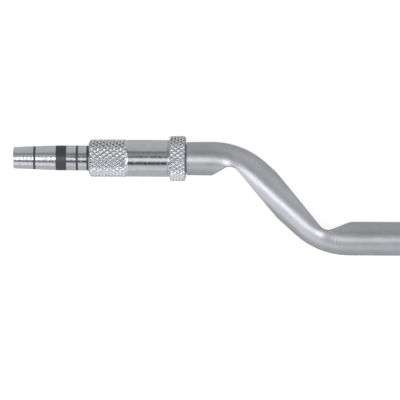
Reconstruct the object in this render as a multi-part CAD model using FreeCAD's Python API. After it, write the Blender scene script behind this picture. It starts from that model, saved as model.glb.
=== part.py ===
import FreeCAD, Part
import math
import os

from FreeCAD import Vector

# Offset osteotome with a concave tip, a screwed stop sleeve and its lock nut.
# The instrument lies on its side: it touches the surface along the handle and at one
# crest of the lock nut, with the tip at the -X end and the striking end at +X.
# Lengths are millimetres and angles are degrees. Stations along the instrument are
# measured from the tip rim.

# Working tip
tip_diameter = 4.7
rim_diameter = 4.08
taper_length = 8.5
rim_round = 0.2
dish_diameter = 3.62
dish_depth = 0.9

# Depth marks: narrow lines centred on their depths, and one filled band
line_depths = (4.0, 12.0, 14.0)
line_width = 0.28
band_start = 8.0
band_end = 10.0
mark_recess = 0.02

# Seat that carries the stop
seat_diameter = 5.5
seat_start = 15.7
seat_lead = 0.4
running_clearance = 0.05
shoulder_gap = 0.15

# Stop sleeve
sleeve_station = 14.2
sleeve_length = 14.95
sleeve_diameter = 6.92
sleeve_knurl_length = 7.35
sleeve_crest_diameter = 7.15
sleeve_knurl_count = 22
sleeve_row_count = 12
nose_length = 0.35
nose_diameter = 5.75
lip_diameter = 4.9
lip_length = 1.2
sleeve_edge_break = 0.1

# Lock nut
hub_length = 0.28
hub_diameter = 6.95
ring_length = 2.95
ring_diameter = 8.65
ring_knurl_count = 30
ring_row_count = 5
ring_corner_length = 0.3
ring_corner_drop = 0.36
bore_lead = 0.25

# Knurl. The skew is the turn of each row against the last, in half diamonds, which makes
# one set of grooves a little steeper than the other.
knurl_depth = 0.22
knurl_skew = 0.094
run_out_drop = 0.05

# Offset shaft
bar_diameter = 6.35
neck_diameter = 6.2
axis_offset = 14.85
bend_start = 37.37
bend_radius = 12.0
bend_angle = 41.63
total_length = 165.0
shoulder_break = 0.12
striking_chamfer = 0.5

# Relief notches on the inner side of the bends. Each has a short bevel and a long flat
# that is a little steeper than the diagonal. Their lines cross at a vertex, inset along
# the bar from the end of the bend and lying beside the axis of the tip or handle.
flat_tilt = 8.5
front_notch_inset = 3.71
front_notch_depth = 0.91
front_bevel_angle = 32.4
rear_notch_inset = 4.48
rear_notch_depth = 1.22
rear_bevel_angle = 22.7
notch_root_radius = 2.1

# Cutting shapes reach past the metal they cut by this factor
overrun = 1.3

# Worked out from the dimensions above
bar_radius = bar_diameter / 2
neck_radius = neck_diameter / 2
seat_radius = seat_diameter / 2
bore_radius = seat_radius + running_clearance
ring_radius = ring_diameter / 2
nut_station = sleeve_station + sleeve_length
nut_length = hub_length + ring_length
shoulder_station = nut_station + nut_length + shoulder_gap
bend_sine = math.sin(math.radians(bend_angle))
bend_cosine = math.cos(math.radians(bend_angle))
diagonal_length = (axis_offset - 2 * bend_radius * (1 - bend_cosine)) / bend_sine
bend_end = bend_start + 2 * bend_radius * bend_sine + diagonal_length * bend_cosine
roll = math.degrees(math.asin((ring_radius - bar_radius) / axis_offset))
tip_side = axis_offset * math.cos(math.radians(roll))
origin = Vector(total_length / 2, (tip_side + ring_radius - bar_radius) / 2, 0)

X_AXIS = Vector(1, 0, 0)


def polyline_face(points):
    """Flat face inside a closed outline of (x, y) points."""
    wire = Part.makePolygon([Vector(x, y, 0) for x, y in points + points[:1]])
    return Part.Face(wire)


def turned(outline):
    """Solid of revolution about X from an outline of (station, radius) points."""
    return polyline_face(outline).revolve(Vector(0, 0, 0), X_AXIS, 360)


def tube_cutter(start, end, radius):
    """Cylinder about X between two stations."""
    return Part.makeCylinder(radius, end - start, Vector(start, 0, 0), X_AXIS)


def on_tip_axis(shape):
    """Moves a shape made about X onto the axis of the tip, instrument lying down."""
    shape.translate(Vector(0, tip_side, ring_radius) - origin)
    return shape


def knurled_band(start, length, crest_radius, count, rows, end_radius=None):
    """Diamond knurl of rolled pyramids about X, with a crest row straight down.

    Rings of corners alternate between crest and root, and every facet pair is split
    along its root to root diagonal. With end_radius the last ring runs out to it.
    """
    root_radius = crest_radius - knurl_depth
    corners = 2 * count
    down = corners * 3 // 4
    middle = rows // 2

    def radius_at(index, row):
        if end_radius and row == rows:
            return end_radius
        on_crest = (index - down + row - middle) % 2 == 0
        return crest_radius if on_crest else root_radius

    def corner(index, row):
        turn = index % corners + knurl_skew * (row - middle)
        angle = 2 * math.pi * turn / corners
        radius = radius_at(index, row)
        station = start + length * row / rows
        return Vector(station, radius * math.cos(angle), radius * math.sin(angle))

    def facet(*points):
        return Part.Face(Part.makePolygon(list(points) + [points[0]]))

    faces = []
    for row in range(rows):
        for index in range(corners):
            a = corner(index, row)
            b = corner(index + 1, row)
            c = corner(index + 1, row + 1)
            d = corner(index, row + 1)
            if (index - down + row - middle) % 2 == 0:
                faces += [facet(a, b, d), facet(b, c, d)]
            else:
                faces += [facet(a, b, c), facet(a, c, d)]
    for row in (0, rows):
        faces.append(facet(*[corner(index, row) for index in range(corners)]))
    return Part.makeSolid(Part.makeShell(faces))


def tip_outline():
    """Outline of the turned front end, from the dished rim to the first bend."""
    rim_radius = rim_diameter / 2
    tip_radius = tip_diameter / 2

    def surface(station):
        share = min(station / taper_length, 1)
        return rim_radius + (tip_radius - rim_radius) * share

    outline = [(0, 0), (0, rim_radius - rim_round), (rim_round, surface(rim_round))]
    spans = [(depth - line_width / 2, depth + line_width / 2) for depth in line_depths]
    spans.append((band_start, band_end))
    for start, end in sorted(spans):
        outline.append((start, surface(start)))
        outline.append((start, surface(start) - mark_recess))
        if start < taper_length < end:
            outline.append((taper_length, tip_radius - mark_recess))
        outline.append((end, surface(end) - mark_recess))
        outline.append((end, surface(end)))
    outline += [
        (seat_start, tip_radius),
        (seat_start + seat_lead, seat_radius),
        (shoulder_station, seat_radius),
        (shoulder_station, neck_radius - shoulder_break),
        (shoulder_station + shoulder_break, neck_radius),
        (bend_start, bar_radius),
        (bend_start, 0),
    ]
    return outline


def dish_cutter():
    """Ball that leaves the concave cup inside the rim."""
    half_width = dish_diameter / 2
    ball_radius = (half_width**2 + dish_depth**2) / (2 * dish_depth)
    return Part.makeSphere(ball_radius, Vector(dish_depth - ball_radius, 0, 0))


def offset_bends():
    """Round bar through the two bends and the diagonal between them."""
    along = Vector(bend_cosine, -bend_sine, 0)
    outward = Vector(bend_sine, bend_cosine, 0)
    half = math.radians(bend_angle / 2)
    half_way = Vector(math.sin(half), math.cos(half), 0)

    start = Vector(bend_start, axis_offset, 0)
    front_centre = start - Vector(0, bend_radius, 0)
    front_end = front_centre + bend_radius * outward
    rear_start = front_end + diagonal_length * along
    rear_end = Vector(bend_end, 0, 0)
    rear_centre = rear_end + Vector(0, bend_radius, 0)
    path = Part.Wire([
        Part.Arc(start, front_centre + bend_radius * half_way, front_end).toShape(),
        Part.LineSegment(front_end, rear_start).toShape(),
        Part.Arc(rear_start, rear_centre - bend_radius * half_way, rear_end).toShape(),
    ])
    section = Part.Face(Part.Wire(Part.makeCircle(bar_radius, start, X_AXIS)))
    return path.makePipe(section)


def notch_cutter(vertex, bevel_angle, side):
    """Prism across the bar: a bevel and a long flat that meet in a round root.

    side is -1 for a notch that opens below the bar and 1 for one that opens above it.
    """
    bevel = math.radians(bevel_angle)
    flat = math.radians(bend_angle + flat_tilt)
    bevel_reach = overrun * bar_radius / math.sin(bevel)
    flat_reach = bar_radius / math.sin(math.radians(flat_tilt))
    bevel_end = vertex + bevel_reach * side * Vector(math.cos(bevel), math.sin(bevel), 0)
    flat_end = vertex - flat_reach * side * Vector(math.cos(flat), -math.sin(flat), 0)
    outline = Part.makePolygon([bevel_end, vertex, flat_end, bevel_end])
    prism = Part.Face(outline).extrude(Vector(0, 0, 2 * bar_diameter))
    prism.translate(Vector(0, 0, -bar_diameter))
    root = [
        edge
        for edge in prism.Edges
        if all(math.hypot(v.X - vertex.x, v.Y - vertex.y) < 1e-6 for v in edge.Vertexes)
    ]
    return prism.makeFillet(notch_root_radius, root)


def shaft():
    """Tip, seat, offset bends and handle, turned and bent from one bar."""
    front = turned(tip_outline()).cut(dish_cutter())
    front.translate(Vector(0, axis_offset, 0))
    handle = turned([
        (bend_end, 0),
        (bend_end, bar_radius),
        (total_length - striking_chamfer, bar_radius),
        (total_length, bar_radius - striking_chamfer),
        (total_length, 0),
    ])
    front_vertex = Vector(
        bend_start + front_notch_inset, axis_offset - front_notch_depth, 0
    )
    rear_vertex = Vector(bend_end - rear_notch_inset, rear_notch_depth, 0)
    bar = front.fuse([offset_bends(), handle]).removeSplitter()
    bar = bar.cut([
        notch_cutter(front_vertex, front_bevel_angle, -1),
        notch_cutter(rear_vertex, rear_bevel_angle, 1),
    ])
    bar.rotate(Vector(0, 0, 0), X_AXIS, roll)
    bar.translate(Vector(0, 0, bar_radius) - origin)
    return bar


def stop_sleeve():
    """Sleeve that sets the depth, knurled at its front and plain behind."""
    crest_radius = sleeve_crest_diameter / 2
    plain_radius = sleeve_diameter / 2
    clear_radius = overrun * crest_radius
    end = sleeve_station + sleeve_length
    knurl_end = sleeve_station + sleeve_knurl_length
    band = knurled_band(
        sleeve_station,
        sleeve_knurl_length,
        crest_radius,
        sleeve_knurl_count,
        sleeve_row_count,
        plain_radius - run_out_drop,
    )
    nose_slope = (crest_radius - nose_diameter / 2) / nose_length
    nose = turned([
        (sleeve_station, 0),
        (sleeve_station, nose_diameter / 2),
        (sleeve_station + (clear_radius - nose_diameter / 2) / nose_slope, clear_radius),
        (end, clear_radius),
        (end, 0),
    ])
    plain = turned([
        (knurl_end, 0),
        (knurl_end, plain_radius - sleeve_edge_break),
        (knurl_end + sleeve_edge_break, plain_radius),
        (end - sleeve_edge_break, plain_radius),
        (end, plain_radius - sleeve_edge_break),
        (end, 0),
    ])
    body = band.common(nose).fuse(plain)
    body = body.cut(tube_cutter(sleeve_station, end, lip_diameter / 2))
    body = body.cut(tube_cutter(sleeve_station + lip_length, end, bore_radius))
    return on_tip_axis(body)


def lock_nut():
    """Knurled ring with a narrow front hub that jams against the sleeve."""
    ring_start = nut_station + hub_length
    ring_end = ring_start + ring_length
    band = knurled_band(ring_start, ring_length, ring_radius, ring_knurl_count, ring_row_count)
    slope = ring_corner_drop / ring_corner_length
    rim_radius = ring_radius - ring_corner_drop
    peak = rim_radius + slope * ring_length / 2
    corners = turned([
        (ring_start, 0),
        (ring_start, rim_radius),
        (ring_start + ring_length / 2, peak),
        (ring_end, rim_radius),
        (ring_end, 0),
    ])
    hub = tube_cutter(nut_station, ring_start + ring_length / 2, hub_diameter / 2)
    body = band.common(corners).fuse(hub)
    body = body.cut(tube_cutter(nut_station, ring_end, bore_radius))
    lead = turned([
        (ring_end - bore_lead, 0),
        (ring_end - bore_lead, bore_radius),
        (ring_end, bore_radius + bore_lead),
        (ring_end, 0),
    ])
    return on_tip_axis(body.cut(lead))


def main():
    os.makedirs("parts", exist_ok=True)
    pieces = {"shaft": shaft(), "stop_sleeve": stop_sleeve(), "lock_nut": lock_nut()}
    for name, shape in pieces.items():
        shape.exportStep(f"parts/{name}.step")
        box = shape.BoundBox
        print(
            name, "solids", len(shape.Solids), "valid", shape.isValid(),
            "volume", round(shape.Volume, 2),
            "box", [round(value, 2) for value in (
                box.XMin, box.XMax, box.YMin, box.YMax, box.ZMin, box.ZMax
            )],
        )


main()
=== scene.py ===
import math

import bpy
import numpy as np
from mathutils import Matrix, Vector


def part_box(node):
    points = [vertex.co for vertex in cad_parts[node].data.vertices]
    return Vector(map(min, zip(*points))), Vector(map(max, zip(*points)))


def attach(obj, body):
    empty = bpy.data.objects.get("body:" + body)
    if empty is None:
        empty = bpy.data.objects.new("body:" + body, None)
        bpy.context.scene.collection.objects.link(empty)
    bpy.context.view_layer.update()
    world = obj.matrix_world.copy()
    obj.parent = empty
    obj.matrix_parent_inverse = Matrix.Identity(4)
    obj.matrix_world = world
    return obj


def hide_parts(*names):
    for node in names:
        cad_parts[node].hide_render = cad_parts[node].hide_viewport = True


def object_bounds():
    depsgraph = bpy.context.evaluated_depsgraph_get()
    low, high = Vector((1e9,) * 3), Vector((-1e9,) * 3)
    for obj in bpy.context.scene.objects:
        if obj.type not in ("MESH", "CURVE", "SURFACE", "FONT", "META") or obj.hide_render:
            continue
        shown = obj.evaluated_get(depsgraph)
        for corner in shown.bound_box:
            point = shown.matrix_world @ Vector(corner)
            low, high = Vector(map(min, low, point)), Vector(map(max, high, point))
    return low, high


# Looks of the offset osteotome: a blasted bar with a polished working tip, dark depth
# marks, and a bright knurled stop sleeve and lock nut on a fine thread.
# Shapes are made in millimetres in the plane of the bends and then laid down with the
# frame. Stations along the instrument are measured from the tip rim.

MM = 0.001

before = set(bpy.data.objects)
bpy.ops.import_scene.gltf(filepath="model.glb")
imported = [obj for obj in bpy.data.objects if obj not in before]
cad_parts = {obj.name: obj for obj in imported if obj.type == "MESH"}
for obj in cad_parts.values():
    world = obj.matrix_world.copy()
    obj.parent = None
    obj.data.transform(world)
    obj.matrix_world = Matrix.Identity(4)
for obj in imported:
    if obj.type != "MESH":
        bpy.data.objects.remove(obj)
cad_low, cad_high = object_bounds()
sleeve_low, sleeve_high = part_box("stop_sleeve")
nut_low, nut_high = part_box("lock_nut")

# Placing, from the frame. The sleeve ends where the nut starts.
TIP_X = cad_low.x / MM
TOTAL_LENGTH = (cad_high.x - cad_low.x) / MM
RING_RADIUS = (nut_high.z - nut_low.z) / 2 / MM
SLEEVE_START = sleeve_low.x / MM - TIP_X
NUT_START = nut_low.x / MM - TIP_X
NUT_END = nut_high.x / MM - TIP_X

# Working tip with its dish, and the depth marks: three lines and a band
TIP_RADIUS = 2.35
RIM_RADIUS = 2.04
TAPER_LENGTH = 8.5
RIM_ROUND = 0.2
DISH_RADIUS = 1.81
DISH_DEPTH = 0.9
LINE_DEPTHS = (4.0, 12.0, 14.0)
LINE_WIDTH = 0.42
BAND_START = 8.0
BAND_END = 10.0

# Threaded seat, and the relief groove between it and the shoulder. The ridge has a crest
# of twice THREAD_CREST, a foot of FOOT_SHARE of its pitch that sinks into the core, and
# ends that taper to END_SHARE of its height.
SEAT_RADIUS = 2.75
SEAT_START = 15.7
SEAT_LEAD = 0.4
THREAD_PITCH = 0.5
THREAD_DEPTH = 0.27
THREAD_CREST = THREAD_PITCH / 16
FOOT_SHARE = 0.9
FOOT_SINK = 0.03
END_SHARE = 0.02
SHOULDER_GAP = 0.2
RELIEF_LENGTH = 0.55
RELIEF_RADIUS = 2.25

# Stop sleeve
SLEEVE_RADIUS = 3.46
SLEEVE_CREST_RADIUS = 3.575
SLEEVE_KNURL_LENGTH = 7.35
SLEEVE_KNURL_COUNT = 22
SLEEVE_ROW_COUNT = 12
NOSE_LENGTH = 0.35
NOSE_RADIUS = 2.875
NOSE_BLEND = 0.06
RUN_OUT_DROP = 0.05
RUN_OUT_ROUND = 0.04
EDGE_ROUND = 0.14
BORE_RADIUS = 2.8
BORE_ROUND = 0.05
LIP_RADIUS = 2.45
LIP_LENGTH = 1.2
LIP_ROUND = 0.06

# Lock nut, with the sleeve's bore
HUB_LENGTH = 0.28
HUB_RADIUS = 3.475
HUB_ROUND = 0.1
RING_KNURL_COUNT = 30
RING_ROW_COUNT = 5
RING_CORNER_LENGTH = 0.42
RING_CORNER_DROP = 0.42
RING_CORNER_BLEND = 0.05
BORE_LEAD = 0.25
BORE_LEAD_ROUND = 0.03

# Knurl. The skew turns each row against the last, in half diamonds. The steeper grooves
# of the second pass are less deep, and the grooves of a pass vary by up to the spread.
KNURL_DEPTH = 0.34
KNURL_SKEW = 0.094
KNURL_PASSES = (1.0, 0.92)
KNURL_SPREAD = 0.18
CREST_FLAT = 0.1

# Offset bar
BAR_RADIUS = 3.175
NECK_RADIUS = 3.1
AXIS_OFFSET = 14.85
BEND_START = 37.37
BEND_RADIUS = 12.0
BEND_ANGLE = math.radians(41.63)
SHOULDER_BREAK = 0.12
STRIKING_CHAMFER = 0.5
CHAMFER_ROUND = 0.15
FACE_ROUND = 0.12

# Relief notches: vertex inset and depth, slopes of bevel and flat, root radius
FRONT_NOTCH_INSET = 3.71
FRONT_NOTCH_DEPTH = 0.82
FRONT_BEVEL_ANGLE = math.radians(32.4)
FRONT_FLAT_ANGLE = BEND_ANGLE + math.radians(8.5)
REAR_NOTCH_INSET = 4.6
REAR_NOTCH_DEPTH = 1.17
REAR_BEVEL_ANGLE = math.radians(22.7)
REAR_FLAT_ANGLE = BEND_ANGLE + math.radians(9.2)
NOTCH_ROOT_RADIUS = 2.1
NOTCH_RIM_BLEND = 0.12

# Swelling beside each notch root where the bar was pinched, and ripples past the rear one
PINCH_RISE = 0.11
PINCH_WIDTH = 1.1
FRONT_PINCH = 41.1
REAR_PINCH_INSET = 4.65
RIPPLE_RISE = 0.008
RIPPLE_PITCH = 0.6
RIPPLE_INSET = 2.3
RIPPLE_WIDTH = 0.7

# Mesh steps. The support points beside an arc stand ARC_SUPPORT tangents from its corner.
AROUND = 128
BEND_STEP = 0.13
THREAD_STEPS = 48
KNURL_STEPS = 6
ARC_STEPS = 4
ARC_SUPPORT = 1.3
DISH_RINGS = 14
DISH_FIRST_SHARE = 0.04
NECK_RINGS = 6
HANDLE_RINGS = 10
SHARP_ANGLE = math.radians(38)

# Lengths along the bar: how far the bends' close rings reach before the first bend and
# past the second, how far the neck's and the handle's rings stay from the bends, how far
# the handle's rings stay from the end, and the length of the end's own outline
BEND_LEAD_IN = 0.3
BEND_LEAD_OUT = 2.0
NECK_CLEARANCE = 1.0
HANDLE_CLEARANCE = 5.0
END_CLEARANCE = 3.0
END_LENGTH = 2.0

# Worked out from the dimensions above
SHOULDER = NUT_END + SHOULDER_GAP
RELIEF_START = SHOULDER - RELIEF_LENGTH
THREAD_CORE = SEAT_RADIUS - THREAD_DEPTH
BEND_LENGTH = BEND_RADIUS * BEND_ANGLE
DIAGONAL_LENGTH = (
    AXIS_OFFSET - 2 * BEND_RADIUS * (1 - math.cos(BEND_ANGLE))
) / math.sin(BEND_ANGLE)
BEND_END = (
    BEND_START
    + 2 * BEND_RADIUS * math.sin(BEND_ANGLE)
    + DIAGONAL_LENGTH * math.cos(BEND_ANGLE)
)
SECOND_BEND_START = BEND_START + BEND_LENGTH + DIAGONAL_LENGTH
HANDLE_START = BEND_START + 2 * BEND_LENGTH + DIAGONAL_LENGTH
PATH_END = HANDLE_START + TOTAL_LENGTH - BEND_END
ROLL = math.asin((RING_RADIUS - BAR_RADIUS) / AXIS_OFFSET)

# Row frame from the frame of the bend plane, which has its origin below the tip rim on
# the line of the handle, X along the handle, Y towards the tip and Z out of the plane
PLANE_UP = Vector((0, math.cos(ROLL), math.sin(ROLL)))
PLANE_OUT = Vector((0, -math.sin(ROLL), math.cos(ROLL)))
HANDLE_Y = cad_low.y / MM + BAR_RADIUS
PLANE_TO_ROW = Matrix((
    (1, 0, 0, TIP_X),
    (0, PLANE_UP.y, PLANE_OUT.y, HANDLE_Y),
    (0, PLANE_UP.z, PLANE_OUT.z, BAR_RADIUS),
    (0, 0, 0, 1),
))


# Meshes. Angles round the bar go from the tip's side of the bend plane to the camera's.


def centreline(travel):
    """Points and headings in the bend plane at distances along the bar's axis."""
    first = np.clip(travel - BEND_START, 0, BEND_LENGTH)
    straight = np.clip(travel - BEND_START - BEND_LENGTH, 0, DIAGONAL_LENGTH)
    second = np.clip(travel - SECOND_BEND_START, 0, BEND_LENGTH)
    handle = np.maximum(travel - HANDLE_START, 0)
    turned, back = first / BEND_RADIUS, BEND_ANGLE - second / BEND_RADIUS
    x = (
        np.minimum(travel, BEND_START)
        + BEND_RADIUS * np.sin(turned)
        + straight * math.cos(BEND_ANGLE)
        + BEND_RADIUS * (math.sin(BEND_ANGLE) - np.sin(back))
        + handle
    )
    y = (
        AXIS_OFFSET
        - BEND_RADIUS * (1 - np.cos(turned))
        - straight * math.sin(BEND_ANGLE)
        - BEND_RADIUS * (np.cos(back) - math.cos(BEND_ANGLE))
    )
    heading = second / BEND_RADIUS - turned
    return x, y, heading


def notch_reach(x, y, side_x, side_y, vertex, bevel, flat):
    """Distance from (x, y) along a unit side direction to the notch's outline.

    bevel and flat are the unit directions of the two walls away from the vertex. The
    round root touches both of them.
    """
    half_opening = math.acos(bevel[0] * flat[0] + bevel[1] * flat[1]) / 2
    tangent_length = NOTCH_ROOT_RADIUS / math.tan(half_opening)
    middle = np.array(bevel) + np.array(flat)
    middle = middle / np.linalg.norm(middle)
    centre = np.array(vertex) + middle * NOTCH_ROOT_RADIUS / math.sin(half_opening)

    def wall(direction):
        """Distance to a wall, and how far from the vertex it is met."""
        cross = side_x * direction[1] - side_y * direction[0]
        gap_x, gap_y = vertex[0] - x, vertex[1] - y
        reach = (gap_x * direction[1] - gap_y * direction[0]) / cross
        hit = (x + reach * side_x - vertex[0]) * direction[0]
        hit += (y + reach * side_y - vertex[1]) * direction[1]
        return reach, hit

    bevel_reach, bevel_hit = wall(bevel)
    flat_reach, flat_hit = wall(flat)
    reach = np.maximum(bevel_reach, flat_reach)
    hit = np.where(bevel_reach > flat_reach, bevel_hit, flat_hit)
    to_x, to_y = centre[0] - x, centre[1] - y
    ahead = to_x * side_x + to_y * side_y
    miss = to_x * side_y - to_y * side_x
    root = ahead - np.sqrt(np.maximum(NOTCH_ROOT_RADIUS**2 - miss**2, 0))
    return np.where(hit < tangent_length, root, reach)


def smooth_min(a, b, blend):
    """Smaller of two lengths with their meeting line rounded."""
    share = np.clip(0.5 + 0.5 * (b - a) / blend, 0, 1)
    return b + (a - b) * share - blend * share * (1 - share)


def cut(reach, cosine):
    """Radius that a notch leaves, from its reach and each angle's cosine to its side."""
    out_of_reach = 4 * BAR_RADIUS
    least_cosine = 0.1
    reach = np.where(reach > 0, reach, out_of_reach)[:, None]
    return np.where(cosine > 0, reach / np.maximum(cosine, least_cosine), out_of_reach)


def bar_radii(travel, around):
    """Radius of the bar at each distance along it and angle round it, notches cut."""
    x, y, heading = centreline(travel)
    up_x, up_y = -np.sin(heading), np.cos(heading)
    front = notch_reach(
        x, y, -up_x, -up_y,
        (BEND_START + FRONT_NOTCH_INSET, AXIS_OFFSET - FRONT_NOTCH_DEPTH),
        (-math.cos(FRONT_BEVEL_ANGLE), -math.sin(FRONT_BEVEL_ANGLE)),
        (math.cos(FRONT_FLAT_ANGLE), -math.sin(FRONT_FLAT_ANGLE)),
    )
    rear = notch_reach(
        x, y, up_x, up_y,
        (BEND_END - REAR_NOTCH_INSET, REAR_NOTCH_DEPTH),
        (math.cos(REAR_BEVEL_ANGLE), math.sin(REAR_BEVEL_ANGLE)),
        (-math.cos(REAR_FLAT_ANGLE), math.sin(REAR_FLAT_ANGLE)),
    )
    share = np.clip((travel - SHOULDER) / (BEND_START - SHOULDER), 0, 1)
    plain = (NECK_RADIUS + (BAR_RADIUS - NECK_RADIUS) * share)[:, None]
    cosine = np.cos(around)[None, :]
    radii = smooth_min(cut(front, -cosine), plain + 0 * cosine, NOTCH_RIM_BLEND)
    return smooth_min(cut(rear, cosine), radii, NOTCH_RIM_BLEND)


def pinch(travel, around):
    """Small rise of the bar's surface where the bending tool pinched it."""
    rear = HANDLE_START - REAR_PINCH_INSET
    swell = np.exp(-((travel - FRONT_PINCH) / PINCH_WIDTH) ** 2)
    swell += np.exp(-((travel - rear) / PINCH_WIDTH) ** 2)
    middle = HANDLE_START - RIPPLE_INSET
    ripple = np.cos(2 * math.pi * (travel - middle) / RIPPLE_PITCH)
    ripple *= np.exp(-((travel - middle) / RIPPLE_WIDTH) ** 2)
    rise = PINCH_RISE * swell + RIPPLE_RISE * ripple
    return rise[:, None] * np.maximum(np.sin(around), 0)[None, :] ** 2


def rounded(corners):
    """Outline of (station, radius) points with arcs in place of (x, r, round) corners.

    A support point beside each arc keeps the shading of the long runs straight.
    """
    outline = []
    for index, (x, r, size) in enumerate(corners):
        here = np.array((x, r), float)
        if size == 0 or index in (0, len(corners) - 1):
            outline.append((x, r))
            continue
        before = np.array(corners[index - 1][:2], float) - here
        after = np.array(corners[index + 1][:2], float) - here
        before, after = before / np.linalg.norm(before), after / np.linalg.norm(after)
        half = math.acos(max(-1, min(1, before @ after))) / 2
        tangent = size / math.tan(half)
        middle = (before + after) / np.linalg.norm(before + after)
        centre = here + middle * size / math.sin(half)
        start = here + before * tangent - centre
        end = here + after * tangent - centre
        outline.append(tuple(here + before * tangent * ARC_SUPPORT))
        sweep = math.pi - 2 * half
        for step in range(ARC_STEPS + 1):
            share = step / ARC_STEPS
            point = start * math.sin((1 - share) * sweep) + end * math.sin(share * sweep)
            outline.append(tuple(centre + point / math.sin(sweep)))
        outline.append(tuple(here + after * tangent * ARC_SUPPORT))
    return outline


def make_piece(name, points, faces, straight, kinds, materials, grooves=None):
    """Mesh object from points in millimetres of the bend plane, laid in the row frame.

    straight holds each point on the unbent bar, for the surface textures, and kinds
    the index of each face's material.
    """
    mesh = bpy.data.meshes.new(name)
    mesh.from_pydata(points.tolist(), [], faces)
    mesh.transform(PLANE_TO_ROW)
    mesh.transform(Matrix.Scale(MM, 4))
    for material in materials:
        mesh.materials.append(material)
    mesh.polygons.foreach_set("material_index", np.array(kinds, np.int32))
    mesh.shade_smooth()
    mesh.set_sharp_from_angle(angle=SHARP_ANGLE)
    unbent = mesh.attributes.new("unbent", "FLOAT_VECTOR", "POINT")
    unbent.data.foreach_set("vector", np.asarray(straight, np.float32).ravel())
    if grooves is not None:
        depth = mesh.attributes.new("groove", "FLOAT", "POINT")
        depth.data.foreach_set("value", np.asarray(grooves, np.float32).ravel())
    mesh.update()
    piece = bpy.data.objects.new(name, mesh)
    bpy.context.scene.collection.objects.link(piece)
    return piece


def skin(rows, count, closed=False, rising=()):
    """Faces between rings of count points.

    rising tells for the cells of the first rows, which are split in two, whether the
    split goes from the first point of this ring to the second of the next.
    """
    faces = []
    for row in range(rows if closed else rows - 1):
        here, there = row * count, (row + 1) % rows * count
        for k in range(count):
            n = (k + 1) % count
            a, b, c, d = here + k, here + n, there + n, there + k
            if row >= len(rising):
                faces.append((a, b, c, d))
            elif rising[row][k]:
                faces += [(a, b, c), (a, c, d)]
            else:
                faces += [(a, b, d), (b, c, d)]
    return faces


def about_axis(stations, radii, around):
    """Rings about the tip axis: points in the bend plane's frame and unbent points."""
    up, out = radii * np.cos(around), radii * np.sin(around)
    x = stations + 0 * up
    points = np.stack([x, AXIS_OFFSET + up, out], -1)
    return points.reshape(-1, 3), np.stack([x, up, out], -1).reshape(-1, 3)


def knurl(u, v, count, seed):
    """Height from 0 to 1 of the diamond knurl, u and v in half diamonds."""
    draw = np.random.default_rng(seed)
    height = 1.0
    for share, lines in zip(KNURL_PASSES, (u + v, u - v)):
        groove = np.floor(lines / 2).astype(int) % count
        depth = share * (1 - KNURL_SPREAD * draw.random(count)[groove])
        rise = np.minimum(np.abs(lines % 2 - 1) / (1 - CREST_FLAT), 1)
        height = np.minimum(height, 1 - depth * (1 - rise))
    return height


def knurled_rings(start, length, crest_radius, count, rows, seed):
    """Stations, radii, angles and heights of a knurled band, and its cells' diagonals.

    The middle row has a crest straight down in the row frame. Each cell is split along
    the diagonal that lies nearer the true surface.
    """
    corners = 2 * count
    down = 0.75  # of a turn
    u = np.arange(corners * KNURL_STEPS) / KNURL_STEPS
    v = (np.arange(rows * KNURL_STEPS + 1) / KNURL_STEPS - rows // 2)[:, None]
    height = knurl(u, v, count, seed)
    radii = crest_radius - KNURL_DEPTH * (1 - height)
    around = 2 * math.pi * ((u + KNURL_SKEW * v) / corners + down) - ROLL
    stations = start + length * (v + rows // 2) / rows
    half = 0.5 / KNURL_STEPS
    centre = knurl(u + half, v[:-1] + half, count, seed)
    beside = np.roll(height, -1, axis=1)
    rising = np.abs(centre - (height[:-1] + beside[1:]) / 2)
    falling = np.abs(centre - (beside[:-1] + height[1:]) / 2)
    return stations, radii, around, height, rising < falling


def make_turned(name, band, grooves, rising, closing, materials):
    """Turned piece from a knurled band and the corners that close it through the bore.

    band holds the stations, radii and angles of the knurled rings. The first of the
    closing corners lies on the last of those. Materials: knurled, polished.
    """
    stations, radii, around = band
    outline = rounded(closing)[1:]
    x, r = np.array(outline).T[:, :, None]
    turns = np.repeat(around[-1:], len(outline), axis=0)
    points, straight = about_axis(
        np.concatenate([stations, x]),
        np.concatenate([radii, r + 0 * turns]),
        np.concatenate([around, turns]),
    )
    rows, count = len(stations) + len(outline), around.shape[1]
    faces = skin(rows, count, closed=True, rising=rising)
    knurled = 2 * rising.size
    kinds = [0] * knurled + [1] * (len(faces) - knurled)
    grooves = np.concatenate([grooves, 0 * turns])
    return make_piece(name, points, faces, straight, kinds, materials, grooves)


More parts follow.
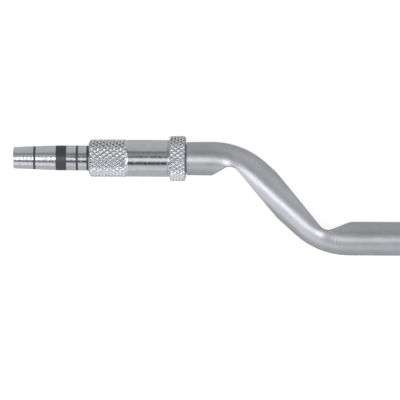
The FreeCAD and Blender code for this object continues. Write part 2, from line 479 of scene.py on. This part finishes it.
def make_sleeve(materials):
    """Stop sleeve with its knurl and bore. Materials: knurled, polished."""
    stations, radii, around, height, rising = knurled_rings(
        SLEEVE_START, SLEEVE_KNURL_LENGTH, SLEEVE_CREST_RADIUS,
        SLEEVE_KNURL_COUNT, SLEEVE_ROW_COUNT, seed=3,
    )
    offset = stations - SLEEVE_START
    nose = NOSE_RADIUS + (SLEEVE_CREST_RADIUS - NOSE_RADIUS) * offset / NOSE_LENGTH
    radii = smooth_min(nose + 0 * radii, radii, NOSE_BLEND)
    row_length = SLEEVE_KNURL_LENGTH / SLEEVE_ROW_COUNT
    fade = np.clip((SLEEVE_KNURL_LENGTH - offset) / row_length, 0, 1)
    run_out_radius = SLEEVE_RADIUS - RUN_OUT_DROP
    radii = radii * fade + run_out_radius * (1 - fade)
    knurl_end = SLEEVE_START + SLEEVE_KNURL_LENGTH
    closing = [
        (knurl_end, run_out_radius, 0),
        (knurl_end, SLEEVE_RADIUS, RUN_OUT_ROUND),
        (NUT_START, SLEEVE_RADIUS, EDGE_ROUND),
        (NUT_START, BORE_RADIUS, BORE_ROUND),
        (SLEEVE_START + LIP_LENGTH, BORE_RADIUS, 0),
        (SLEEVE_START + LIP_LENGTH, LIP_RADIUS, 0),
        (SLEEVE_START, LIP_RADIUS, LIP_ROUND),
        (SLEEVE_START, (LIP_RADIUS + NOSE_RADIUS) / 2, 0),
    ]
    band, grooves = (stations, radii, around), (1 - height) * fade
    return make_turned("stop_sleeve_turned", band, grooves, rising, closing, materials)


def make_nut(materials):
    """Lock nut with its hub, knurled ring and bore. Materials: knurled, polished."""
    ring_start = NUT_START + HUB_LENGTH
    ring_length = NUT_END - ring_start
    stations, radii, around, height, rising = knurled_rings(
        ring_start, ring_length, RING_RADIUS, RING_KNURL_COUNT, RING_ROW_COUNT, seed=5
    )
    edge = np.minimum(stations - ring_start, NUT_END - stations)
    share = np.clip(edge / RING_CORNER_LENGTH, 0, 1)
    corner = RING_RADIUS - RING_CORNER_DROP * (1 - np.sqrt(share * (2 - share)))
    radii = smooth_min(corner + 0 * radii, radii, RING_CORNER_BLEND)
    rim = RING_RADIUS - RING_CORNER_DROP
    closing = [
        (NUT_END, rim, 0),
        (NUT_END, BORE_RADIUS + BORE_LEAD, BORE_LEAD_ROUND),
        (NUT_END - BORE_LEAD, BORE_RADIUS, BORE_LEAD_ROUND),
        (NUT_START, BORE_RADIUS, BORE_ROUND),
        (NUT_START, HUB_RADIUS, HUB_ROUND),
        (ring_start, HUB_RADIUS, 0),
        (ring_start, rim - RING_CORNER_BLEND, 0),
    ]
    band = (stations, radii, around)
    return make_turned("lock_nut_turned", band, 1 - height, rising, closing, materials)


def mark_spans():
    """Start and end of each depth mark."""
    spans = [(depth - LINE_WIDTH / 2, depth + LINE_WIDTH / 2) for depth in LINE_DEPTHS]
    return spans + [(BAND_START, BAND_END)]


def dish_outline():
    """Outline of the tip's concave face, from near its middle to its edge."""
    ball = (DISH_RADIUS**2 + DISH_DEPTH**2) / (2 * DISH_DEPTH)
    outline = []
    for share in np.linspace(DISH_FIRST_SHARE, 1, DISH_RINGS):
        radius = DISH_RADIUS * share
        outline.append((DISH_DEPTH - ball + math.sqrt(ball**2 - radius**2), radius))
    return outline


def front_outline():
    """Outline of the tip, the seat and the shoulder, with a ring at each mark's edges."""
    dish = dish_outline()
    edges = [edge for span in mark_spans() for edge in span]
    corners = [(*dish[-1], 0), (0, RIM_RADIUS, RIM_ROUND)]
    for station in sorted(edges + [TAPER_LENGTH]):
        share = min(station / TAPER_LENGTH, 1)
        corners.append((station, RIM_RADIUS + (TIP_RADIUS - RIM_RADIUS) * share, 0))
    corners += [
        (SEAT_START, TIP_RADIUS, 0),
        (SEAT_START + SEAT_LEAD, THREAD_CORE, 0),
        (RELIEF_START, THREAD_CORE, 0),
        (RELIEF_START, RELIEF_RADIUS, 0),
        (SHOULDER, RELIEF_RADIUS, 0),
        (SHOULDER, NECK_RADIUS, SHOULDER_BREAK),
        (SHOULDER + 3 * SHOULDER_BREAK, NECK_RADIUS, 0),
    ]
    return dish[:-1] + rounded(corners)


def end_outline():
    """Outline of the chamfered striking end."""
    return rounded([
        (PATH_END - END_LENGTH, BAR_RADIUS, 0),
        (PATH_END - STRIKING_CHAMFER, BAR_RADIUS, CHAMFER_ROUND),
        (PATH_END, BAR_RADIUS - STRIKING_CHAMFER, FACE_ROUND),
        (PATH_END, BAR_RADIUS / 2, 0),
        (PATH_END, BAR_RADIUS / 8, 0),
    ])


def bar_stations():
    """Ring stations of the neck, the bends with the diagonal, and the handle."""
    neck_start = SHOULDER + 4 * SHOULDER_BREAK
    handle_start = HANDLE_START + HANDLE_CLEARANCE
    return np.concatenate([
        np.linspace(neck_start, BEND_START - NECK_CLEARANCE, NECK_RINGS),
        np.arange(BEND_START - BEND_LEAD_IN, HANDLE_START + BEND_LEAD_OUT, BEND_STEP),
        np.linspace(handle_start, PATH_END - END_CLEARANCE, HANDLE_RINGS),
    ])


def make_shaft(materials):
    """Dished tip, seat and offset bar in one skin. Materials: polished, satin, mark."""
    polished, satin, mark = range(3)
    around = 2 * math.pi * np.arange(AROUND) / AROUND
    front, end = np.array(front_outline()), np.array(end_outline())
    middle = bar_stations()
    travel = np.concatenate([front[:, 0], middle, end[:, 0]])
    radii = np.concatenate([
        front[:, 1:] + 0 * around,
        bar_radii(middle, around) + pinch(middle, around),
        end[:, 1:] + 0 * around,
    ])
    x, y, heading = centreline(travel)
    up, out = radii * np.cos(around), radii * np.sin(around)
    points = np.stack([
        x[:, None] - up * np.sin(heading)[:, None],
        y[:, None] + up * np.cos(heading)[:, None],
        out,
    ], -1).reshape(-1, 3)
    straight = np.stack([travel[:, None] + 0 * up, up, out], -1).reshape(-1, 3)

    rows = len(travel)
    faces = skin(rows, AROUND)
    spans = mark_spans()
    kinds = []
    for row in range(rows - 1):
        station = (travel[row] + travel[row + 1]) / 2
        kind = polished if station < RELIEF_START else satin
        if row >= DISH_RINGS and any(low < station < high for low, high in spans):
            kind = mark
        kinds += [kind] * AROUND

    # A fan of triangles closes the dish and the striking face
    tip_pole, end_pole = len(points), len(points) + 1
    poles = [(DISH_DEPTH, AXIS_OFFSET, 0), (x[-1], y[-1], 0)]
    points = np.concatenate([points, poles])
    straight = np.concatenate([straight, [(DISH_DEPTH, 0, 0), (PATH_END, 0, 0)]])
    last = (rows - 1) * AROUND
    for k in range(AROUND):
        n = (k + 1) % AROUND
        faces += [(tip_pole, n, k), (end_pole, last + k, last + n)]
        kinds += [polished, satin]
    return make_piece("osteotome_shaft", points, faces, straight, kinds, materials)


def make_thread(materials):
    """Helical ridge on the seat, with tapering ends."""
    start = SEAT_START + SEAT_LEAD + THREAD_PITCH / 2
    turns = (RELIEF_START - THREAD_PITCH / 2 - start) / THREAD_PITCH
    count = int(turns * THREAD_STEPS)
    angle = 2 * math.pi * np.arange(count + 1) / THREAD_STEPS
    middle = start + THREAD_PITCH * angle / (2 * math.pi)
    taper = np.clip(np.minimum(angle, angle[-1] - angle) / math.pi, END_SHARE, 1)
    foot, sunk = THREAD_PITCH / 2 * FOOT_SHARE, THREAD_CORE - FOOT_SINK
    profile = (
        (-foot, sunk, 0), (-THREAD_CREST, THREAD_CORE, THREAD_DEPTH),
        (THREAD_CREST, THREAD_CORE, THREAD_DEPTH), (foot, sunk, 0),
    )
    sides = [
        about_axis(middle + shift * taper, base + rise * taper, angle)
        for shift, base, rise in profile
    ]
    points, straight = (np.stack(lines, 1).reshape(-1, 3) for lines in zip(*sides))
    faces = []
    for k in range(count):
        for side in range(4):
            near, far = 4 * k + side, 4 * k + (side + 1) % 4
            faces.append((near, near + 4, far + 4, far))
    faces.append((0, 1, 2, 3))
    faces.append((4 * count + 3, 4 * count + 2, 4 * count + 1, 4 * count))
    kinds = [0] * len(faces)
    return make_piece("seat_thread", points, faces, straight, kinds, materials)


# Materials. Noise scales are in cells per millimetre along, up and out of the unbent bar,
# and bumps are in millimetres. A noise mostly lies between NOISE_LOW and NOISE_HIGH, and
# a pair of values is what these two are mapped to.

NOISE_LOW, NOISE_HIGH = 0.3, 0.7
BLACK, WHITE = (0, 0, 0, 1), (1, 1, 1, 1)

SATIN_COLOURS = ((0.478, 0.485, 0.515, 1), (0.532, 0.54, 0.572, 1))
SATIN_GRAIN = (9, 9, 9)
SATIN_DRAWN = (0.25, 7, 7)
SATIN_CLOUD = (0.35, 0.5, 0.5)
SATIN_ROUGHNESS = (0.38, 0.43)
SATIN_DRAWN_ROUGHNESS = (-0.03, 0.03)
SATIN_DRAWN_HEIGHT = 0.7
SATIN_BUMP = 0.006

LATHE_LINES = (16, 0.3, 0.3)
LATHE_BUMP = 0.0012

POLISHED_COLOURS = ((0.62, 0.628, 0.66, 1), (0.67, 0.678, 0.712, 1))
POLISHED_CLOUD = (0.8, 0.8, 0.8)
POLISHED_WAVES = (1.8, 0.9, 0.9)
POLISHED_WAVE_HEIGHT = 14.0
POLISHED_ROUGHNESS = (0.06, 0.13)
POLISHED_CLOUD_ROUGHNESS = (-0.02, 0.03)

KNURL_COLOUR = (1.0, 1.012, 1.06, 1)
KNURL_CLOUD = (2.5, 2.5, 2.5)
KNURL_BRIGHTNESS = (0.74, 0.82)
# Painted shade: how far the base colour darkens at the bottom of a knurl groove
KNURL_GROOVE_PAINTED_SHADE = -0.25
KNURL_ROUGHNESS = (0.19, 0.27)
KNURL_GROOVE_ROUGHNESS = 0.1

MARK_COLOURS = ((0.055, 0.055, 0.06, 1), (0.085, 0.086, 0.092, 1))
MARK_LINES = (14, 0.5, 0.5)
MARK_METALLIC = 0.5
MARK_ROUGHNESS = (0.38, 0.5)
MARK_BUMP = 0.002


def new_material(name, metallic=1.0):
    """Material with its node tree and its shader."""
    material = bpy.data.materials.new(name)
    material.use_nodes = True
    shader = material.node_tree.nodes["Principled BSDF"]
    shader.inputs["Metallic"].default_value = metallic
    return material, material.node_tree, shader


def attribute(tree, name):
    """Node that reads a point attribute of the mesh."""
    node = tree.nodes.new("ShaderNodeAttribute")
    node.attribute_name = name
    return node


def feed(tree, socket, value):
    """Gives a socket a fixed value or the output of another node."""
    if isinstance(value, bpy.types.NodeSocket):
        tree.links.new(value, socket)
    else:
        socket.default_value = value


def combine(tree, operation, first, second):
    """Result of a Math node for two values."""
    node = tree.nodes.new("ShaderNodeMath")
    node.operation = operation
    feed(tree, node.inputs[0], first)
    feed(tree, node.inputs[1], second)
    return node.outputs["Value"]


def mixed(tree, factor, first, second):
    """Colour between two colours."""
    node = tree.nodes.new("ShaderNodeMix")
    node.data_type = "RGBA"
    tree.links.new(factor, node.inputs["Factor"])
    feed(tree, node.inputs["A"], first)
    feed(tree, node.inputs["B"], second)
    return node.outputs["Result"]


def noise(tree, scale, detail=3.0):
    """Noise over the unbent bar, with a scale for each direction."""
    stretch = tree.nodes.new("ShaderNodeVectorMath")
    stretch.operation = "MULTIPLY"
    stretch.inputs[1].default_value = scale
    tree.links.new(attribute(tree, "unbent").outputs["Vector"], stretch.inputs[0])
    texture = tree.nodes.new("ShaderNodeTexNoise")
    texture.inputs["Scale"].default_value = 1.0
    texture.inputs["Detail"].default_value = detail
    tree.links.new(stretch.outputs["Vector"], texture.inputs["Vector"])
    return texture.outputs["Fac"]


def span(tree, value, bounds):
    """Maps what a noise mostly covers to a range."""
    node = tree.nodes.new("ShaderNodeMapRange")
    node.inputs["From Min"].default_value = NOISE_LOW
    node.inputs["From Max"].default_value = NOISE_HIGH
    node.inputs["To Min"].default_value, node.inputs["To Max"].default_value = bounds
    tree.links.new(value, node.inputs["Value"])
    return node.outputs["Result"]


def ramped(tree, value, start, full):
    """Smooth rise from 0 to 1 as a value goes from start to full."""
    node = tree.nodes.new("ShaderNodeMapRange")
    node.interpolation_type = "SMOOTHSTEP"
    node.inputs["From Min"].default_value = start
    node.inputs["From Max"].default_value = full
    tree.links.new(value, node.inputs["Value"])
    return node.outputs["Result"]


def bump(tree, shader, height, distance):
    """Bump with its distance in millimetres."""
    node = tree.nodes.new("ShaderNodeBump")
    node.inputs["Distance"].default_value = distance * MM
    tree.links.new(height, node.inputs["Height"])
    tree.links.new(node.outputs["Normal"], shader.inputs["Normal"])


def tint(tree, shader, value, colours):
    """Base colour between two colours by a noise value."""
    colour = mixed(tree, span(tree, value, (0, 1)), *colours)
    tree.links.new(colour, shader.inputs["Base Color"])


def satin_steel():
    """Blasted and lightly brushed stainless steel of the bar."""
    material, tree, shader = new_material("satin_steel")
    grain, drawn = noise(tree, SATIN_GRAIN), noise(tree, SATIN_DRAWN)
    cloud = noise(tree, SATIN_CLOUD, detail=2)
    tint(tree, shader, cloud, SATIN_COLOURS)
    rough = combine(
        tree, "ADD",
        span(tree, cloud, SATIN_ROUGHNESS),
        span(tree, drawn, SATIN_DRAWN_ROUGHNESS),
    )
    tree.links.new(rough, shader.inputs["Roughness"])
    drawn_height = combine(tree, "MULTIPLY", drawn, SATIN_DRAWN_HEIGHT)
    bump(tree, shader, combine(tree, "ADD", grain, drawn_height), SATIN_BUMP)
    return material


def polished_steel():
    """Turned and polished stainless steel with fine lathe lines round the axis."""
    material, tree, shader = new_material("polished_steel")
    lines, cloud = noise(tree, LATHE_LINES), noise(tree, POLISHED_CLOUD, detail=2)
    tint(tree, shader, cloud, POLISHED_COLOURS)
    rough = combine(
        tree, "ADD",
        span(tree, lines, POLISHED_ROUGHNESS),
        span(tree, cloud, POLISHED_CLOUD_ROUGHNESS),
    )
    tree.links.new(rough, shader.inputs["Roughness"])
    waves = noise(tree, POLISHED_WAVES, detail=1)
    wave_height = combine(tree, "MULTIPLY", waves, POLISHED_WAVE_HEIGHT)
    bump(tree, shader, combine(tree, "ADD", lines, wave_height), LATHE_BUMP)
    return material


def knurled_steel():
    """Polished steel with painted shade in the grooves of the knurl, darker as the groove
    deepens.
    """
    material, tree, shader = new_material("knurled_steel")
    depth = attribute(tree, "groove").outputs["Fac"]
    # Base colour: random tone, less a painted shade that deepens with the groove depth
    tone_and_painted_shade = combine(
        tree, "ADD",
        combine(tree, "MULTIPLY", depth, KNURL_GROOVE_PAINTED_SHADE),
        span(tree, noise(tree, KNURL_CLOUD), KNURL_BRIGHTNESS),
    )
    colour = mixed(tree, tone_and_painted_shade, BLACK, KNURL_COLOUR)
    tree.links.new(colour, shader.inputs["Base Color"])
    lines = noise(tree, LATHE_LINES)
    rough = combine(
        tree, "ADD",
        span(tree, lines, KNURL_ROUGHNESS),
        combine(tree, "MULTIPLY", depth, KNURL_GROOVE_ROUGHNESS),
    )
    tree.links.new(rough, shader.inputs["Roughness"])
    bump(tree, shader, lines, LATHE_BUMP)
    return material


def laser_mark():
    """Dark annealed depth mark."""
    material, tree, shader = new_material("laser_mark", MARK_METALLIC)
    lines = noise(tree, MARK_LINES)
    tint(tree, shader, lines, MARK_COLOURS)
    tree.links.new(span(tree, lines, MARK_ROUGHNESS), shader.inputs["Roughness"])
    bump(tree, shader, lines, MARK_BUMP)
    return material


# Studio

# Radiance of the studio round the instrument, by the angle in degrees from the normal of
# the bend plane towards the tip's side (+) or the handle's side (-), for directions far
# to the left, a little to the left, across the middle and to the right
SKY_FAR_LEFT = (
    (-180, 0.70), (-95, 1.2), (-70, 1.3), (-50, 1.1), (-20, 0.9), (0, 0.6), (15, 0.2),
    (60, 0.1), (110, 0.1), (180, 0.5),
)
SKY_LEFT = (
    (-180, 0.70), (-90, 0.8), (-79, 1.0), (-68, 1.3), (-56, 1.3), (-46, 0.45),
    (-36, 0.4), (-26, 0.8), (-16, 1.1), (-6, 1.2), (3, 1.1), (12, 0.8), (22, 0.6),
    (32, 0.45), (43, 0.3), (52, 0.45), (63, 0.58), (100, 0.58), (120, 0.7),
    (180, 0.75),
)
SKY_MIDDLE = (
    (-180, 0.75), (-150, 0.72), (-133, 0.64), (-89, 0.64), (-80, 0.70), (-72, 0.75),
    (-60, 0.72), (-50, 0.66), (-45, 0.55), (-41, 0.30), (-37, 0.07), (-29, 0.04),
    (-24, 0.2), (-19, 0.65), (-15, 1.0), (-4, 1.0), (0, 0.6), (4, 0.22), (8, 0.12),
    (13, 0.2), (20, 0.38), (27, 0.33), (34, 0.2), (40, 0.24), (47, 0.45), (53, 0.55),
    (68, 0.56), (92, 0.60), (104, 0.68), (115, 0.74), (180, 0.74),
)
SKY_RIGHT = (
    (-180, 0.60), (-95, 0.60), (-65, 0.72), (-42, 0.98), (-25, 0.88), (-5, 0.7),
    (15, 0.66), (40, 0.76), (90, 0.74), (180, 0.60),
)
# Parts of a direction to the left or right at which a sky begins and at which it is full
LEFT_SHARES = (0.02, 0.2)
FAR_LEFT_SHARES = (0.25, 0.5)
RIGHT_SHARES = (0.06, 0.3)

# Softbox, placed from the middle of the sleeve along the row's axes, in metres
SOFTBOX_SIZE = (0.34, 0.2)
SOFTBOX_PLACE = (-0.263, -0.112, 0.5)
SOFTBOX_RADIANCE = 4.8

# Floor, with the glow that lifts it to white for the camera and a little in reflections
FLOOR_SIZE = 30.0
FLOOR_COLOUR = (0.64, 0.64, 0.64, 1)
FLOOR_GLOW_SEEN = 0.72
FLOOR_GLOW_IN_METAL = 0.05


def make_sky():
    """World that lights the instrument by direction and is white behind it."""
    world = bpy.data.worlds.new("studio")
    bpy.context.scene.world = world
    world.use_nodes = True
    tree = world.node_tree
    direction = tree.nodes.new("ShaderNodeTexCoord").outputs["Generated"]

    def along(axis):
        """Part of the direction along an axis."""
        dot = tree.nodes.new("ShaderNodeVectorMath")
        dot.operation = "DOT_PRODUCT"
        dot.inputs[1].default_value = axis
        tree.links.new(direction, dot.inputs[0])
        return dot.outputs["Value"]

    turn = combine(tree, "ARCTAN2", along(PLANE_UP), along(PLANE_OUT))
    share = combine(tree, "ADD", combine(tree, "DIVIDE", turn, 2 * math.pi), 0.5)

    def bands(levels):
        """Grey by the angle in the plane across the bar."""
        ramp = tree.nodes.new("ShaderNodeValToRGB")
        stops = ramp.color_ramp.elements
        for index, (angle, level) in enumerate(levels):
            place = (angle + 180) / 360
            stop = stops[index] if index < 2 else stops.new(place)
            stop.position = place
            stop.color = (level, level, level, 1)
        tree.links.new(share, ramp.inputs["Fac"])
        return ramp.outputs["Color"]

    left, right = along(Vector((-1, 0, 0))), along(Vector((1, 0, 0)))
    leftward = ramped(tree, left, *LEFT_SHARES)
    far_leftward = ramped(tree, left, *FAR_LEFT_SHARES)
    rightward = ramped(tree, right, *RIGHT_SHARES)
    sky = mixed(tree, leftward, bands(SKY_MIDDLE), bands(SKY_LEFT))
    sky = mixed(tree, far_leftward, sky, bands(SKY_FAR_LEFT))
    sky = mixed(tree, rightward, sky, bands(SKY_RIGHT))
    seen = tree.nodes.new("ShaderNodeLightPath").outputs["Is Camera Ray"]
    background = tree.nodes["Background"]
    tree.links.new(mixed(tree, seen, sky, WHITE), background.inputs["Color"])


def make_softbox():
    """Large lamp above and to the left, which draws the bright streaks along the bar."""
    data = bpy.data.lights.new("softbox", "AREA")
    data.shape = "RECTANGLE"
    data.size, data.size_y = SOFTBOX_SIZE
    data.energy = SOFTBOX_RADIANCE * math.pi * data.size * data.size_y
    lamp = bpy.data.objects.new("softbox", data)
    bpy.context.scene.collection.objects.link(lamp)
    middle = (sleeve_low + sleeve_high) / 2
    lamp.location = middle + Vector(SOFTBOX_PLACE)


def make_floor():
    """Plain pale floor under the instrument."""
    half = FLOOR_SIZE / 2
    mesh = bpy.data.meshes.new("floor")
    mesh.from_pydata(
        [(-half, -half, 0), (half, -half, 0), (half, half, 0), (-half, half, 0)],
        [], [(0, 1, 2, 3)],
    )
    floor = bpy.data.objects.new("floor", mesh)
    bpy.context.scene.collection.objects.link(floor)
    material, tree, shader = new_material("floor", metallic=0.0)
    shader.inputs["Base Color"].default_value = FLOOR_COLOUR
    shader.inputs["Roughness"].default_value = 1.0
    shader.inputs["Specular IOR Level"].default_value = 0.0
    shader.inputs["Emission Color"].default_value = WHITE
    rays = tree.nodes.new("ShaderNodeLightPath").outputs
    glow = combine(
        tree, "ADD",
        combine(tree, "MULTIPLY", rays["Is Camera Ray"], FLOOR_GLOW_SEEN),
        combine(tree, "MULTIPLY", rays["Is Glossy Ray"], FLOOR_GLOW_IN_METAL),
    )
    tree.links.new(glow, shader.inputs["Emission Strength"])
    mesh.materials.append(material)


# Camera: the photograph's place and scale in its own 400 pixel frame
FRAME_PIXELS = 400
PIXELS_PER_MM = 5.32
RIM_PIXEL = (13.5, 157.65)
CAMERA_DISTANCE = 2500.0
CAMERA_YAW = math.radians(2.2)
PICTURE_ROLL = math.radians(0.33)
SENSOR = 36.0
CLIP_START, CLIP_END = 0.01, 100.0


def make_camera():
    """Long lens on the bend plane, with the tip rim at its pixel of the photograph."""
    data = bpy.data.cameras.new("camera")
    camera = bpy.data.objects.new("camera", data)
    bpy.context.scene.collection.objects.link(camera)
    bpy.context.scene.camera = camera
    data.sensor_width = SENSOR
    data.lens = SENSOR * CAMERA_DISTANCE * PIXELS_PER_MM / FRAME_PIXELS
    data.clip_start, data.clip_end = CLIP_START, CLIP_END
    right = Vector((math.cos(CAMERA_YAW), 0, 0)) - PLANE_OUT * math.sin(CAMERA_YAW)
    out = Vector((math.sin(CAMERA_YAW), 0, 0)) + PLANE_OUT * math.cos(CAMERA_YAW)
    turned_right = right * math.cos(PICTURE_ROLL) + PLANE_UP * math.sin(PICTURE_ROLL)
    turned_up = PLANE_UP * math.cos(PICTURE_ROLL) - right * math.sin(PICTURE_ROLL)
    across = (FRAME_PIXELS / 2 - RIM_PIXEL[0]) / PIXELS_PER_MM
    above = (RIM_PIXEL[1] - FRAME_PIXELS / 2) / PIXELS_PER_MM
    rim = PLANE_TO_ROW @ Vector((0, AXIS_OFFSET, 0))
    target = rim + turned_right * across + turned_up * above
    place = (target + out * CAMERA_DISTANCE) * MM
    camera.matrix_world = Matrix((
        (turned_right.x, turned_up.x, out.x, place.x),
        (turned_right.y, turned_up.y, out.y, place.y),
        (turned_right.z, turned_up.z, out.z, place.z),
        (0, 0, 0, 1),
    ))


def main():
    """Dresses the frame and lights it."""
    polished, satin = polished_steel(), satin_steel()
    knurled, mark = knurled_steel(), laser_mark()
    shaft_skin = make_shaft([polished, satin, mark])
    thread = make_thread([polished])
    sleeve = make_sleeve([knurled, polished])
    nut = make_nut([knurled, polished])
    for piece in (shaft_skin, thread):
        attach(piece, "shaft")
        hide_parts("shaft")
    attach(sleeve, "stop_sleeve")
    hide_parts("stop_sleeve")
    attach(nut, "lock_nut")
    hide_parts("lock_nut")
    make_sky()
    make_softbox()
    make_floor()
    make_camera()
    bpy.context.scene.view_settings.view_transform = "Standard"


main()
